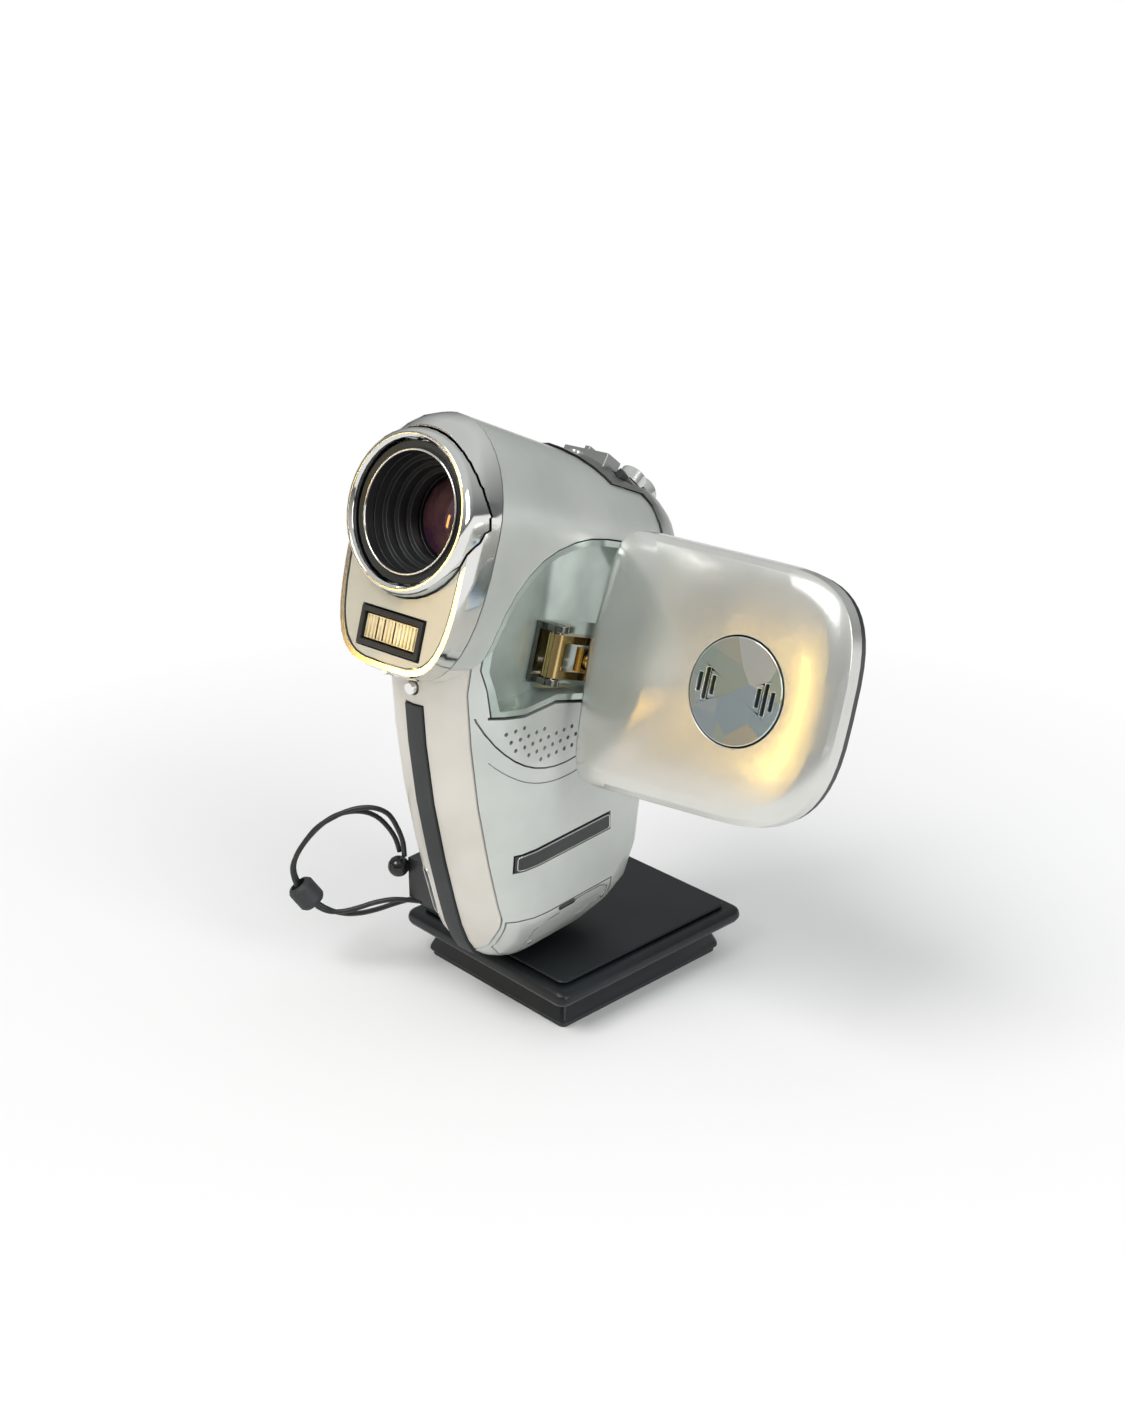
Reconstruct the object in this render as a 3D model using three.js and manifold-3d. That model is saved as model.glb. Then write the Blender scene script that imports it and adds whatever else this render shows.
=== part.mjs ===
// Pistol-grip pocket camcorder on a small display stand, in millimetres, +Z up.
// Origin: centre of the stand's underside. The lens looks along -Y and the screen opens towards +X.
import * as THREE from "three";
import { mergeVertices } from "three/addons/utils/BufferGeometryUtils.js";
import Module from "manifold-3d";

// ---- Driving dimensions ----
const GAP = 0.3; // clearance between neighbouring pieces
const WALL = 1.5; // casing thickness

const STAND_TURN = -5.6; // degrees: the camcorder stands a little askew on its stand
const STAND_HALF = { x: 23, y: 25 }; // half size of the stand's top plate
const STAND_TOP = 10; // height of the top plate
const PAD_TOP = 10.8; // height of the raised pad

const HEAD_TILT = 18; // degrees: the barrel looks up by this much
const LENS = { y: -43.2, z: 101.5 }; // centre of the lens ring's front lip
const RING_RADIUS = 13.7;
const RING_BORE = 12.2;
const BEZEL_BACK = 8; // the polished bezel ends this far behind the lip
const HEAD_END = 68; // rear-most point of the head, measured along the barrel
const HEAD_HALF_WIDTH = 14.5;
const HEAD_TOP = 17.5;
const HEAD_BOTTOM = -28;
const HEAD_MIDDLE = -1; // height that the rounded back end closes on
const TAIL_START = 44; // the back end starts to round off here

const GRIP_BOTTOM = PAD_TOP + GAP;
const GRIP_HALF_WIDTH = 12.8;
const SEAM_HALF = 9; // half width of the front cover

const SCREEN = { height: 44.4, thickness: 7, discRadius: 9.1, taper: 0.06, bow: 2.6 };
const SCREEN_START = 14.4; // X of the screen's hinge edge
const SCREEN_PLANE = 39.3; // the open screen's middle plane, measured along the barrel
const DISC_TO_HINGE = 33; // from the disc's centre to the screen's hinge edge
const DISC_TO_END = 19.6; // and to its free end
const DISC_RISE = 2.8; // the disc sits this much above the hinge's middle
const HINGE_HEIGHT = -20.6; // height of the hinge's middle in the head's frame
const LINK_PIN = { x: 10.2, s: 33.8 }; // where the hinge link turns on the body
const LINK_END = { x: 12.3, s: 48.1 }; // where the screen's knuckle turns on the link
const LINK_HALF = 3.9; // half height of the link
const PIN_RADIUS = 0.7;
const BARREL_RADIUS = 1.8;
const DISH_FLOOR = 7.4; // X of the floor of the hollow in the side
const POCKET_FLOOR = 6.2; // X of the floor of the deeper pocket round the hinge

const CORD_RADIUS = 0.5;

// ---- Materials ----
const finish = (color, roughness, metalness, extra = {}) =>
  new THREE.MeshStandardMaterial({ color, roughness, metalness, ...extra });
const SILVER = finish(0xc9ccca, 0.35, 0.6);
const WARM_SILVER = finish(0xd9d5cd, 0.4, 0.4);
const GREY = finish(0x868c88, 0.4, 0.6);
const CHROME = finish(0xe4e4e0, 0.08, 1);
const BLACK = finish(0x1c1e1e, 0.5, 0);
const RUBBER = finish(0x24282a, 0.75, 0);
const STAND_BLACK = finish(0x15181a, 0.35, 0);
const GLASS = finish(0x2c2230, 0.05, 0, { transparent: true, opacity: 0.6 });
const BOARD = finish(0x1d5a34, 0.6, 0);
const BRASS = finish(0xc7a258, 0.25, 1);
const GOLD = finish(0xe8dfb8, 0.2, 0.8);
const WINDOW = finish(0xf4f0dc, 0.1, 0, { transparent: true, opacity: 0.5 });
const RED = finish(0xa8382e, 0.35, 0.2);
const BATTERY_GREY = finish(0x3a3f46, 0.5, 0);
const STEEL = finish(0xb9bcc0, 0.3, 1);

// ---- Frames ----
const root = new THREE.Group();
const head = new THREE.Group(); // x across, y back along the barrel, z up across it
head.position.set(0, LENS.y, LENS.z);
head.rotation.x = THREE.MathUtils.degToRad(-HEAD_TILT);
head.updateMatrix();
const stand = new THREE.Group();
stand.rotation.z = THREE.MathUtils.degToRad(STAND_TURN);
root.add(head, stand);
const HEAD_FRAME = head.matrix.clone();

// ---- Solids ----
const wasm = await Module();
wasm.setup();

function solid(geometry, frame) {
  const bare = geometry.clone();
  bare.deleteAttribute("normal");
  bare.deleteAttribute("uv");
  if (frame) bare.applyMatrix4(frame);
  const merged = mergeVertices(bare, 1e-4);
  const mesh = { numProp: 3, vertProperties: merged.attributes.position.array };
  mesh.triVerts = new Uint32Array(merged.index.array);
  return new wasm.Manifold(new wasm.Mesh(mesh));
}

function geometryOf(shape) {
  const mesh = shape.getMesh();
  const geometry = new THREE.BufferGeometry();
  geometry.setAttribute("position", new THREE.BufferAttribute(new Float32Array(mesh.vertProperties), 3));
  geometry.setIndex(new THREE.BufferAttribute(new Uint32Array(mesh.triVerts), 1));
  geometry.computeVertexNormals();
  return geometry;
}

function piece(name, shape, material, parent = root) {
  const geometry = shape.isBufferGeometry ? shape : geometryOf(shape);
  const mesh = new THREE.Mesh(geometry, material);
  mesh.name = name;
  parent.add(mesh);
  return mesh;
}

const move = (x, y, z) => new THREE.Matrix4().makeTranslation(x, y, z);
const inHead = (matrix = new THREE.Matrix4()) => HEAD_FRAME.clone().multiply(matrix);

// A box between two corners.
function block(low, high, frame) {
  const size = high.map((value, i) => value - low[i]);
  const geometry = new THREE.BoxGeometry(...size);
  geometry.translate(...low.map((value, i) => value + size[i] / 2));
  return solid(geometry, frame);
}

// A cylinder from one point along an axis ("x", "y" or "z").
function rod(start, length, radius, axis, frame, sides = 20) {
  const geometry = new THREE.CylinderGeometry(radius, radius, length, sides);
  if (axis === "x") geometry.rotateZ(-Math.PI / 2);
  if (axis === "z") geometry.rotateX(Math.PI / 2);
  const half = new THREE.Vector3(axis === "x", axis === "y", axis === "z").multiplyScalar(length / 2);
  geometry.translate(start[0] + half.x, start[1] + half.y, start[2] + half.z);
  return solid(geometry, frame);
}

// A turned piece about the barrel's axis, from [radius, distance] pairs.
function turned(profile, sides = 40) {
  const points = profile.map(([radius, distance]) => new THREE.Vector2(radius, distance));
  const shape = solid(new THREE.LatheGeometry(points, sides));
  if (shape.volume() > 0) return shape;
  return solid(new THREE.LatheGeometry(points.reverse(), sides));
}

// An outline in the Y-Z plane pushed through from x = from to x = to.
function sidePrism(outline, from, to, frame) {
  const shape = new THREE.Shape(outline.map(([y, z]) => new THREE.Vector2(y, z)));
  const geometry = new THREE.ExtrudeGeometry(shape, { depth: to - from, bevelEnabled: false });
  const turn = new THREE.Matrix4().makeBasis(
    new THREE.Vector3(0, 1, 0),
    new THREE.Vector3(0, 0, 1),
    new THREE.Vector3(1, 0, 0),
  );
  geometry.applyMatrix4(turn);
  geometry.translate(from, 0, 0);
  return solid(geometry, frame);
}

// A closed skin through rings of equally many points.
function loft(rings, frame) {
  const count = rings[0].length;
  const vertices = rings.flat();
  const faces = [];
  for (let r = 0; r + 1 < rings.length; r++) {
    for (let i = 0; i < count; i++) {
      const a = r * count + i;
      const b = r * count + ((i + 1) % count);
      faces.push(a, b, b + count, a, b + count, a + count);
    }
  }
  const addCap = (first, flip) => {
    const ring = vertices.slice(first, first + count);
    const centre = [0, 1, 2].map((axis) => ring.reduce((sum, p) => sum + p[axis], 0) / count);
    const middle = vertices.push(centre) - 1;
    for (let i = 0; i < count; i++) {
      const a = first + i;
      const b = first + ((i + 1) % count);
      faces.push(...(flip ? [b, a, middle] : [a, b, middle]));
    }
  };
  addCap((rings.length - 1) * count, false);
  addCap(0, true);
  const geometry = new THREE.BufferGeometry();
  geometry.setAttribute("position", new THREE.Float32BufferAttribute(vertices.flat(), 3));
  geometry.setIndex(faces);
  const shape = solid(geometry, frame);
  if (shape.volume() > 0) return shape;
  geometry.setIndex(faces.reverse());
  return solid(geometry, frame);
}

const blend = (from, to, share) => from + (to - from) * Math.min(1, Math.max(0, share));
const power = (value, exponent) => Math.sign(value) * Math.abs(value) ** exponent;

// ---- The casing's outer form ----
// Cross-section of the head at distance s behind the lip: round above, egg-shaped below.
function headRing(s, inset, points = 40) {
  const tail = Math.min(1, Math.max(0, (s - TAIL_START) / (HEAD_END + 0.3 - TAIL_START)));
  const shrink = (1 - tail ** 2.5) ** 0.4;
  const top = HEAD_TOP - 0.1 * (s - BEZEL_BACK);
  const half = blend(HEAD_HALF_WIDTH, 13.5, (s - BEZEL_BACK) / 14);
  const ring = [];
  for (let i = 0; i < points; i++) {
    const angle = (2 * Math.PI * i) / points;
    const roundness = angle < Math.PI ? 1 : 2 / 2.6;
    const reach = angle < Math.PI ? top - HEAD_MIDDLE : HEAD_MIDDLE - HEAD_BOTTOM;
    const x = power(Math.cos(angle), roundness) * Math.max(0.3, half * shrink - inset);
    const z = power(Math.sin(angle), roundness) * Math.max(0.3, reach * shrink - inset);
    ring.push([x, s, HEAD_MIDDLE + z]);
  }
  return ring;
}

function headForm(inset, start = BEZEL_BACK + GAP) {
  const distances = [start, 14, 22, 32, 44, 50, 55, 59, 62, 64.5, 66.5, 67.8];
  const stop = HEAD_END - inset;
  const kept = distances.filter((s) => s < stop - 0.4);
  return loft([...kept, stop].map((s) => headRing(s, inset)), HEAD_FRAME);
}

// Side view of the grip: [height, front Y, rear Y], from the stand up into the head.
const GRIP_SIDE = [
  [GRIP_BOTTOM, -25, -9],
  [12.4, -28.2, -4.5],
  [14.5, -30.9, -0.5],
  [17.5, -32.8, 3.6],
  [21.5, -34.4, 7.2],
  [27, -35.9, 9.6],
  [36, -38.1, 11],
  [48, -40.5, 12],
  [60, -42, 13],
  [70, -42.6, 14.5],
  [79, -40.5, 15.5],
  [88, -36, 14],
];

// Horizontal section of the grip: a rounded front, flat sides and a softer rounded back.
function gripRing([z, front, rear], inset, points = 12) {
  const rise = Math.min(1, Math.max(0, (25 - z) / 14.4));
  const half = GRIP_HALF_WIDTH * Math.sqrt(1 - rise ** 2) - inset;
  const frontDepth = Math.min(half, (rear - front) / 2);
  const rearDepth = Math.min(9, (rear - front) / 2);
  const ring = [];
  for (let i = 0; i <= points; i++) {
    const angle = (Math.PI * i) / points;
    ring.push([half * Math.cos(angle), rear - inset - rearDepth * (1 - Math.sin(angle)), z]);
  }
  for (let i = 0; i <= points; i++) {
    const angle = Math.PI + (Math.PI * i) / points;
    ring.push([half * Math.cos(angle), front + inset + frontDepth * (1 + Math.sin(angle)), z]);
  }
  return ring;
}

function gripForm(inset) {
  const rings = GRIP_SIDE.map((row) => gripRing([row[0] + inset, row[1], row[2]], inset));
  return loft(rings);
}

const casingForm = (inset) => headForm(inset).add(gripForm(inset));
const OUTER = casingForm(0);
const INNER = headForm(WALL, BEZEL_BACK - 2).add(gripForm(WALL));
const SKIN = OUTER.subtract(INNER);

// ---- Regions that split the casing ----
const FAR = 90;
// Side outline of the seam round the control panel: distance along the barrel, height.
const CONTROL_SEAM = [
  [29, 16.8],
  [36.3, 14.1],
  [39, 12.6],
  [41.5, 10.6],
  [51.5, 9.8],
  [53.6, 8],
  [55.6, 2.4],
  [57, -4],
  [57.4, -12],
];
function controlRegion(offset) {
  const seam = CONTROL_SEAM.map(([s, h]) => [s + 0.7 * offset, h + 0.7 * offset]);
  const outline = [...seam, [FAR, seam[seam.length - 1][1]], [FAR, FAR], [seam[0][0], FAR]];
  return sidePrism(outline, -FAR, FAR, HEAD_FRAME);
}
// The front cover narrows to the grip's front edge near the bottom.
const frontRegion = (gap) =>
  block([-SEAM_HALF - gap, -60, 24], [SEAM_HALF + gap, -24 + gap, FAR + gap]).add(
    block([-SEAM_HALF - gap, -60, 0], [SEAM_HALF + gap, -31 + gap, 25]),
  );

// Side outline of the hollow that the hinge and the folded screen sit in, in the head's frame.
function dishOutline(grow) {
  const front = 14.8 - grow;
  const top = 1 + grow;
  const back = 56 + grow;
  const corner = { s: 38, h: -17 };
  const outline = [];
  for (let i = 0; i <= 8; i++) {
    const angle = (Math.PI / 2) * (1 - i / 8);
    const s = corner.s - (corner.s - front) * Math.cos(angle);
    const h = corner.h + (top - corner.h) * Math.sin(angle);
    outline.push([s, h]);
  }
  outline.push([front + 0.4, -24], [19 - grow, -31.8 - grow], [26.2, -30.8 - grow]);
  outline.push([33.7, -28.2 - grow], [back - 4, -27.4 - grow], [back, -23]);
  outline.push([back, top - 5], [back - 5, top]);
  return outline;
}
const dishPrism = (grow, from, to) => sidePrism(dishOutline(grow), from, to, HEAD_FRAME);

// The loudspeaker's crescent: a disc about the hinge hollow, below that hollow.
const SPEAKER = { y: -17.5, z: 73, radius: 21.3 };
function grillePrism(grow, from, to) {
  const disc = [];
  for (let i = 0; i < 48; i++) {
    const angle = (2 * Math.PI * i) / 48;
    const radius = SPEAKER.radius + grow;
    disc.push([SPEAKER.y + radius * Math.cos(angle), SPEAKER.z + radius * Math.sin(angle)]);
  }
  const below = block([from - 1, SPEAKER.y - 30, 40], [to + 1, SPEAKER.y + 19, 65.5]);
  return sidePrism(disc, from, to).intersect(below);
}

const LABEL = { y0: -30, y1: -4.8, z0: 33.7, z1: 36.9 };
const CARD_DOOR = { y0: -30, y1: -3.9, z0: 12.4, z1: 22.6, x0: 6 };
const BATTERY_DOOR = { y0: -27, y1: 0, z0: 34, z1: 62 };

const labelBox = (grow) =>
  block([8, LABEL.y0 - grow, LABEL.z0 - grow], [20, LABEL.y1 + grow, LABEL.z1 + grow]);
const cardDoorBox = (grow) =>
  block(
    [CARD_DOOR.x0 - grow, CARD_DOOR.y0 - grow, CARD_DOOR.z0 - grow],
    [20, CARD_DOOR.y1 + grow, CARD_DOOR.z1 + grow],
  );
const batteryDoorBox = (grow) =>
  block(
    [-20, BATTERY_DOOR.y0 - grow, BATTERY_DOOR.z0 - grow],
    [-8, BATTERY_DOOR.y1 + grow, BATTERY_DOOR.z1 + grow],
  );

// ---- Casing pieces ----
function buildCasing() {
  const body = SKIN.subtract(controlRegion(-GAP / 2))
    .subtract(dishPrism(GAP, 4, 30))
    .subtract(grillePrism(GAP, 4, 30))
    .subtract(stripForm(GAP));
  const cover = body.intersect(frontRegion(0)).subtract(screwRod(COVER_SCREW, GAP));
  piece("front_cover", cover, WARM_SILVER);

  const sides = body.subtract(frontRegion(GAP));
  const left = sides
    .intersect(block([GAP / 2, -FAR, 0], [FAR, FAR, 2 * FAR]))
    .subtract(labelBox(GAP))
    .subtract(cardDoorBox(GAP));
  piece("left_shell", left, SILVER);

  const right = sides
    .intersect(block([-FAR, -FAR, 0], [-GAP / 2, FAR, 2 * FAR]))
    .subtract(batteryDoorBox(GAP));
  piece("right_shell", right, SILVER);

  const proud = headForm(-0.5, 20).subtract(headForm(WALL, 20));
  const control = proud.intersect(controlRegion(GAP / 2)).subtract(buttonHoles());
  piece("control_panel", control, GREY);
}

// The dark rubber strip down the front of the grip.
function stripForm(grow) {
  const form = casingForm(-0.4 - grow).subtract(casingForm(0.9 + grow));
  const outline = [
    [-60, 13.2 - grow],
    [-24, 13.2 - grow],
    [-24, 67 + grow],
    [-60, 67 + grow],
  ];
  return form.intersect(sidePrism(outline, -1.9 - grow, 1.9 + grow)).intersect(
    block([-5, -60, 10], [5, -27, 70]),
  );
}

// One screw sits in the bezel's lower edge and one just below it, in the front cover.
const BEZEL_SCREW = { front: 2.7, height: -26.8, radius: 0.65 };
const COVER_SCREW = { front: -43.4, height: 70.2, radius: 1.1 };
const screwRod = (screw, grow) =>
  rod([0, screw.front, screw.height], 4.6, screw.radius + grow, "y", undefined, 16);

// ---- Lens, bezel and flash ----
const FLASH = { half: 7.2, low: -23.5, high: -17, wall: 0.9 };
const flashBox = (grow, front, back) =>
  block([-FLASH.half - grow, front, FLASH.low - grow], [FLASH.half + grow, back, FLASH.high + grow]);

// Outline of the front plate at distance s, grown outwards by an amount.
function plateRing(s, grow, points = 40) {
  const ring = [];
  for (let i = 0; i < points; i++) {
    const angle = (2 * Math.PI * i) / points;
    const upper = angle < Math.PI;
    const roundness = upper ? 1 : 0.5;
    const half = 13.6 + grow;
    const reach = upper ? 14.6 + grow : 26.6 + grow;
    ring.push([power(Math.cos(angle), roundness) * half, s, power(Math.sin(angle), roundness) * reach]);
  }
  return ring;
}

// Ring between the plate's outline and the casing's outline at the bezel's back edge.
function bezelRing(s, share) {
  const inner = plateRing(s, 0);
  const outer = headRing(BEZEL_BACK, 0);
  return inner.map((point, i) => [
    blend(point[0], outer[i][0], share),
    s,
    blend(point[2], outer[i][2], share),
  ]);
}

function buildBezel() {
  const rings = [bezelRing(2.4, 0), bezelRing(3.6, 0.42), bezelRing(5, 0.74), bezelRing(BEZEL_BACK, 1)];
  const plateSeat = loft([plateRing(1, -0.9), plateRing(4.2, -0.9)]);
  const bezel = loft(rings)
    .subtract(plateSeat)
    .subtract(rod([0, 0, 0], 10, RING_RADIUS + 0.3 + GAP, "y", undefined, 40))
    .subtract(flashBox(GAP, 0, 10))
    .subtract(screwRod(BEZEL_SCREW, GAP));
  piece("front_bezel", bezel, CHROME, head);

  const plate = loft([plateRing(2.5, -0.9 - GAP), plateRing(3.9, -0.9 - GAP)])
    .intersect(block([-20, 0, -40], [20, 9, -6]))
    .subtract(rod([0, 0, 0], 10, RING_RADIUS + 0.3 + GAP, "y", undefined, 40))
    .subtract(flashBox(GAP, 0, 10));
  piece("front_plate", plate, SILVER, head);
}

function buildLens() {
  piece("lens_ring", turned(ringProfile()), CHROME, head);
  piece("lens_trim_ring", turned(trimProfile()), BLACK, head);
  piece("lens_baffle", turned(baffleProfile(), 32), BLACK, head);
  piece("front_lens", turned(lensProfile(6.9, 12, 1.5, 1.2), 32), GLASS, head);
  piece("zoom_barrel", turned(barrelProfile(), 32), BLACK, head);
  piece("rear_lens", turned(lensProfile(3.3, 27, 1.4, 0.6), 24), GLASS, head);
  const sensor = block([-3, 35.4, -3], [3, 36.8, 3]);
  piece("sensor_board", block([-5, 36.6, -5], [5, 38, 6]).add(sensor), BOARD, head);
}

// Lip, polished side band and inner bore of the lens ring.
function ringProfile() {
  const band = RING_RADIUS + 0.3;
  return [
    [RING_BORE, 0.5],
    [RING_BORE + 0.5, 0],
    [RING_RADIUS - 0.5, 0],
    [RING_RADIUS, 0.5],
    [band, 1.6],
    [band, 7.4],
    [RING_BORE - 0.6, 7.4],
    [RING_BORE - 0.6, 3.6],
    [RING_BORE, 3.6],
    [RING_BORE, 0.5],
  ];
}

// Flat annulus with a narrow raised rim round the glass.
function trimProfile() {
  const outer = RING_BORE - GAP;
  return [
    [10.5, 1.8],
    [outer, 1.5],
    [outer, 3.3],
    [10.1, 3.3],
    [10.1, 1.4],
    [10.5, 1.4],
    [10.5, 1.8],
  ];
}

// Stepped light baffle, narrowing towards the glass.
function baffleProfile() {
  const steps = 4;
  const start = { radius: 10.2, s: 3.6 };
  const end = { radius: 7.5, s: 11.6 };
  const profile = [];
  for (let i = 0; i < steps; i++) {
    const radius = blend(start.radius, end.radius, i / (steps - 1));
    const depth = (step) => blend(start.s, end.s, step / steps);
    profile.push([radius, depth(i)], [radius, depth(i + 1)]);
  }
  profile.push([8.6, end.s], [11.2, start.s + 4], [11.2, start.s]);
  profile.push(profile[0].slice());
  return profile;
}

// A lens with a rounded front: radius, distance of its rim, thickness at the rim, bulge.
function lensProfile(radius, s, thickness, bulge) {
  const arc = [0, 0.35, 0.65, 0.85, 1].map((share) => [radius * share, s - bulge * (1 - share ** 2)]);
  return [...arc, [radius, s + thickness], [0, s + thickness]];
}

function barrelProfile() {
  return [
    [7.5, 12],
    [8.6, 12],
    [8.6, 13],
    [4.6, 14.6],
    [4.6, 35],
    [3.6, 35],
    [3.6, 15.8],
    [7.5, 14],
    [7.5, 12],
  ];
}

function buildFlash() {
  const frame = flashBox(0, 2, 7).subtract(flashBox(-FLASH.wall, 1, 9));
  piece("flash_frame", frame, BLACK, head);
  const bowl = flashBox(-FLASH.wall - GAP, 4.8, 7).subtract(
    block([-5, 4, FLASH.low + 2], [5, 6.2, FLASH.high - 2]),
  );
  piece("flash_reflector", bowl, GOLD, head);
  const tube = rod([-4.2, 5.2, (FLASH.low + FLASH.high) / 2], 8.4, 0.7, "x", undefined, 12);
  piece("flash_tube", tube, GLASS, head);
  piece("flash_window", flashBox(-FLASH.wall - GAP, 2.5, 3.7), WINDOW, head);
}

// ---- Controls on the back of the head ----
const CONTROLS = [
  { name: "photo_button", x: -4.4, s: 53, radius: 2.6, out: 0.8, tilt: 36 },
  { name: "record_button", x: 4.4, s: 53, radius: 2.6, out: 0.8, tilt: 36 },
  { name: "menu_button", x: 0, s: 62.2, radius: 2.9, out: 1.4, tilt: 62 },
  { name: "power_button", x: 0, s: 40.8, radius: 1.2, out: 0.4, tilt: 10 },
];

// Height of the head's surface at distance s on the middle plane.
function surfaceHeight(x, s) {
  const ring = headRing(s, -0.5, 400);
  const upper = ring.filter((point) => point[2] > HEAD_MIDDLE);
  return upper.reduce((best, point) => (Math.abs(point[0] - x) < Math.abs(best[0] - x) ? point : best))[2];
}

// The frame of a control: its local Z points out of the head.
function controlFrame({ x, s, tilt, lean = 0 }) {
  const turn = new THREE.Matrix4().makeRotationFromEuler(
    new THREE.Euler(THREE.MathUtils.degToRad(-tilt), THREE.MathUtils.degToRad(lean), 0),
  );
  return move(x, s, surfaceHeight(x, s)).multiply(turn);
}

const ROCKER = { x: 0, s: 45.4, tilt: 19, half: { x: 5.2, y: 2.2 }, out: 0.9 };
const rockerBox = (grow, low, high) => {
  const half = [ROCKER.half.x + grow, ROCKER.half.y + grow];
  return block([-half[0], -half[1], low], [half[0], half[1], high]);
};
const MODE_SWITCH = { x: 6.9, s: 47, tilt: 19, lean: 33 };

function buttonHoles() {
  const round = CONTROLS.map((control) => {
    const frame = inHead(controlFrame(control));
    return rod([0, 0, -6], 9, control.radius + GAP, "z", frame, 24);
  });
  const rocker = solid(geometryOf(rockerBox(GAP, -6, 3)), inHead(controlFrame(ROCKER)));
  const slot = block([-1.1, -2.4, -5], [1.1, 2.4, 3], inHead(controlFrame(MODE_SWITCH)));
  return [...round, rocker, slot].reduce((all, next) => all.add(next));
}

function buildControls() {
  for (const control of CONTROLS) {
    const depth = 1.6;
    const frame = controlFrame(control);
    const cap = rod([0, 0, -depth], depth + control.out, control.radius, "z", frame, 24);
    piece(control.name, cap, control.name === "record_button" ? RED : SILVER, head);
  }
  const ridge = block([-0.6, -ROCKER.half.y, ROCKER.out - 0.2], [0.6, ROCKER.half.y, ROCKER.out + 0.6]);
  const rocker = rockerBox(0, -2.2, ROCKER.out).add(ridge);
  piece("zoom_rocker", solid(geometryOf(rocker), controlFrame(ROCKER)), GREY, head);
  const knob = block([-0.8, -1.6, -1.3], [0.8, 0.1, 0.9], controlFrame(MODE_SWITCH));
  piece("mode_switch", knob, BLACK, head);
}

// ---- Side of the body ----
function buildSide() {
  const pocket = block([POCKET_FLOOR, 29.8, -26.25], [30, 51, -14.8], HEAD_FRAME);
  const tray = dishPrism(0, POCKET_FLOOR - 1.1, 30)
    .intersect(casingForm(0.1))
    .subtract(dishPrism(-1.1, DISH_FLOOR, 30))
    .subtract(pocket);
  piece("screen_recess", tray, SILVER);

  const grille = SKIN.intersect(grillePrism(0, 4, 30))
    .subtract(dishPrism(2 * GAP, 3, 31))
    .subtract(speakerHoles());
  piece("speaker_grille", grille, SILVER);
  piece("speaker", rod([7.4, -19, 57.6], 3, 4.4, "x", undefined, 28), BLACK);

  const proud = casingForm(-0.15).subtract(casingForm(1));
  piece("label_plate", proud.intersect(labelBox(0)), BLACK);
  piece("card_door", SKIN.intersect(cardDoorBox(0)), SILVER);
  piece("battery_door", SKIN.intersect(batteryDoorBox(0)), SILVER);

  piece("grip_strip", stripForm(0), RUBBER);
  piece("front_screw_upper", screwRod(BEZEL_SCREW, 0), CHROME, head);
  piece("front_screw_lower", screwRod(COVER_SCREW, 0), CHROME);
}

// Staggered rows of small round holes under the hinge hollow.
function speakerHoles() {
  const pitch = 2.1;
  const holes = [];
  for (let row = 0; row < 7; row++) {
    for (let column = 0; column < 12; column++) {
      const y = -33.5 + pitch * (column + (row % 2) / 2);
      const z = 52.5 + pitch * 0.87 * row;
      const inDisc = Math.hypot(y - SPEAKER.y, z - SPEAKER.z) < SPEAKER.radius - 1.3;
      const belowHollow = z < 63 - 0.28 * (y + 33);
      const overSpeaker = y < -8;
      if (inDisc && belowHollow && overSpeaker) {
        holes.push(rod([9, y, z], 6, 0.42, "x", undefined, 6));
      }
    }
  }
  return holes.reduce((all, next) => all.add(next));
}

// ---- Hinge and screen, open at a right angle to the body ----
function upright(centre, low, high, radius, sides = 20) {
  return rod([centre.x, centre.s, HINGE_HEIGHT + low], high - low, radius, "z", undefined, sides);
}

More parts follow.
